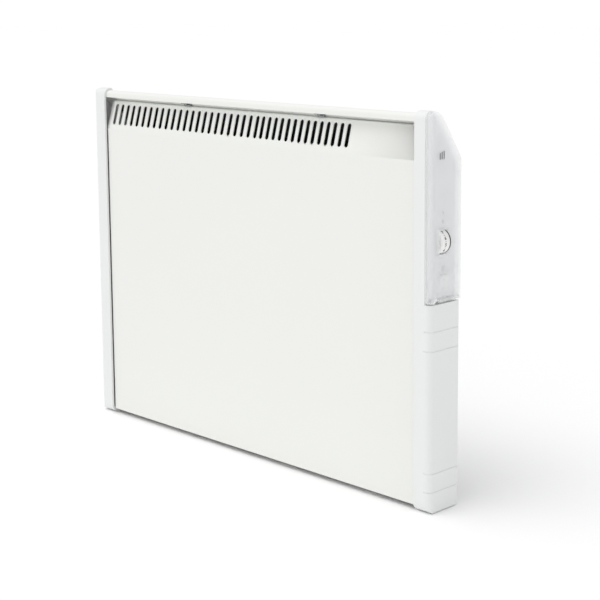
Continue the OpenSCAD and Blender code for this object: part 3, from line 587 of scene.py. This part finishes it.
def rocker_signs():
    low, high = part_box("rocker_button")
    middle = (low + high) / 2
    bm = bmesh.new()
    for sign, z, lift, lean in (("I", 4.3 * MM, 0.35 * MM, -7), ("O", -4.3 * MM, 1.5 * MM, 0)):
        mesh = lettering(sign, 4.5 * MM, 0.05 * MM)
        mesh.transform(Matrix.Translation((high.x - lift, middle.y, middle.z + z))
                       @ Matrix.Rotation(math.radians(lean), 4, "Y") @ FACE_RIGHT)
        bm.from_mesh(mesh)
        bpy.data.meshes.remove(mesh)
    finish_piece(bm, "rocker_signs", sign_ink, "rocker_button", stands_in=False)


rocker_signs()

# ---------------------------------------------------------------------------------------------
# Indicators: two 3 mm lamps, cast in tinted epoxy, one smoke green and one dull red when off.
# ---------------------------------------------------------------------------------------------


def tinted_epoxy(name, hex_colour):
    """Cast epoxy: clear and glossy, tinted through, with a faint haze."""
    material, bsdf = new_material(name, Roughness=0.12, IOR=1.52, Transmission_Weight=0.35)
    place = add_node(material, "ShaderNodeTexCoord")
    haze = add_node(material, "ShaderNodeTexNoise", {"Scale": 1 / (1.5 * MM)},
                    {"Vector": place.outputs["Object"]})
    tint = add_node(material, "ShaderNodeMix",
                    {"data_type": "RGBA", 6: linear(hex_colour), 7: dimmed(hex_colour, 0.8)},
                    {0: haze.outputs["Fac"]})
    material.node_tree.links.new(tint.outputs[2], bsdf.inputs["Base Color"])
    return material


dress(tinted_epoxy("smoke_green_epoxy", "#20281F"), "led_power")
dress(tinted_epoxy("dull_red_epoxy", "#8C4F46"), "led_heat")

# ---------------------------------------------------------------------------------------------
# Panel clips and screws: dull zinc-plated spring steel clips that hold the panel's top edge under the
# rail, with small pan-head screws. The other screws and pins are zinc plated.
# ---------------------------------------------------------------------------------------------
dress(speckled("dull_zinc_plate", "#8E9092", "#A2A4A6", 0.45, 0.6, metallic=0.8),
      "panel_clips", "clip_screws")
zinc = speckled("zinc_plate", "#B9BBBD", "#A4A7AA", 0.3, 1.2, metallic=1.0)
dress(zinc, "cap_screws", "base_screws", "housing_screw", "cover_hinge_pins",
      "element_terminals", "catch_pins")

# ---------------------------------------------------------------------------------------------
# Back panel, base and partition: galvanised steel sheet. The zinc shows as spangle. On the back panel,
# every face that does not point to the back is painted near black as shade, so the slots look dark.
# ---------------------------------------------------------------------------------------------
SPANGLE = 7.0 * MM


def galvanised_sheet(name, shade_painted_inside):
    """Hot-dip galvanised sheet: flat crystals of zinc some millimetres wide, each with its own tone."""
    material, bsdf = new_material(name, Metallic=0.9, Roughness=0.42)
    place = add_node(material, "ShaderNodeTexCoord")
    crystal = add_node(material, "ShaderNodeTexVoronoi", {"Scale": 1 / SPANGLE},
                       {"Vector": place.outputs["Object"]})
    tone = add_node(material, "ShaderNodeMix",
                    {"data_type": "RGBA", 6: linear("#BBBFC1"), 7: linear("#CED1D3")},
                    {0: crystal.outputs["Color"]})
    colour = tone.outputs[2]
    # Painted shade: every face whose normal does not point to the back turns near black and loses its metal,
    # so the inside looks dark through the slots.
    if shade_painted_inside:
        spot = add_node(material, "ShaderNodeSeparateXYZ", None, {"Vector": place.outputs["Normal"]})
        painted_shade_mask = add_node(material, "ShaderNodeMath", {"operation": "LESS_THAN", 1: 0.3},
                         {0: spot.outputs["Y"]})
        coat = add_node(material, "ShaderNodeMix", {"data_type": "RGBA", 7: linear("#26282A")},
                        {0: painted_shade_mask.outputs[0], 6: colour})
        bare = add_node(material, "ShaderNodeMath", {"operation": "MULTIPLY_ADD", 1: -0.9, 2: 0.9},
                        {0: painted_shade_mask.outputs[0]})
        material.node_tree.links.new(bare.outputs[0], bsdf.inputs["Metallic"])
        colour = coat.outputs[2]
    material.node_tree.links.new(colour, bsdf.inputs["Base Color"])
    return material


# The back panel's inside is painted near black as shade.
dress(galvanised_sheet("galvanised_sheet_painted_shade_inside", True), "back_panel")
dress(galvanised_sheet("galvanised_sheet", False), "base_grille", "partition", "element_brackets")

# ---------------------------------------------------------------------------------------------
# Heating element: aluminium fins on a steel sheath in steatite bushes, in front of a shield painted
# near black as shade, so the slots look dark. The sheath is straw and brown where it has been hot.
# ---------------------------------------------------------------------------------------------
# Painted shade: the shield is near black so that the inside looks dark through the slots.
dress(speckled("heat_shield_painted_shade_black", "#26282A", "#303235", 0.55, 1.5), "heat_shield")
dress(speckled("mill_finish_aluminium", "#C4C6C8", "#B2B5B8", 0.35, 2.0, metallic=1.0), "element_fins")
dress(speckled("heat_tinted_steel", "#7A6E62", "#5D5550", 0.4, 3.0, metallic=1.0), "element_sheath")
dress(speckled("unglazed_steatite", "#E9E2D2", "#DDD5C2", 0.7, 0.8, bump_strength=0.3),
      "element_bushes", "thermal_cutout")

# ---------------------------------------------------------------------------------------------
# Electronics and wiring in the bay: fibreglass board, moulded cases, brass earth stud and PVC
# insulated leads in their standard colours.
# ---------------------------------------------------------------------------------------------
dress(speckled("green_solder_resist", "#1E5A38", "#276B45", 0.3, 1.0), "circuit_board")
dress(speckled("blue_polyester_case", "#2B4778", "#34528A", 0.4, 0.8), "relay")
dress(black_abs, "potentiometer", "capacitor", "room_sensor")
dress(speckled("black_nylon", "#1B1C1E", "#292A2D", 0.55, 0.5, bump_strength=0.25),
      "cable_gland", "gland_nut")
dress(speckled("black_rubber", "#1D1D1E", "#262627", 0.8, 0.6, bump_strength=0.2), "grommet")
dress(speckled("white_nylon", "#EDEDEA", "#E3E3DF", 0.45, 0.8), "terminal_block", "left_catch", "right_catch")
dress(speckled("turned_brass", "#C9B06A", "#B89C55", 0.3, 0.6, metallic=1.0), "earth_stud", "earth_nut")
for lead, sheath, shade in (("lead_live", "#7A4524", "#6B3B1E"), ("lead_neutral", "#2C6AAE", "#255C99"),
                            ("lead_earth", "#6FA02E", "#C9C53A"), ("lead_sensor", "#E4E4E2", "#D6D6D3")):
    dress(speckled("pvc_of_" + lead, sheath, shade, 0.5, 2.5), lead)

# ---------------------------------------------------------------------------------------------
# Behind: a blank polyester rating label, and the steel wall bracket, powder coated light grey.
# ---------------------------------------------------------------------------------------------
dress(speckled("polyester_label", "#E8E8E6", "#DEDEDB", 0.3, 4.0), "rating_plate")
dress(powder_coat("light_grey_powder_coat", "#DCDDDF"), "wall_bracket")
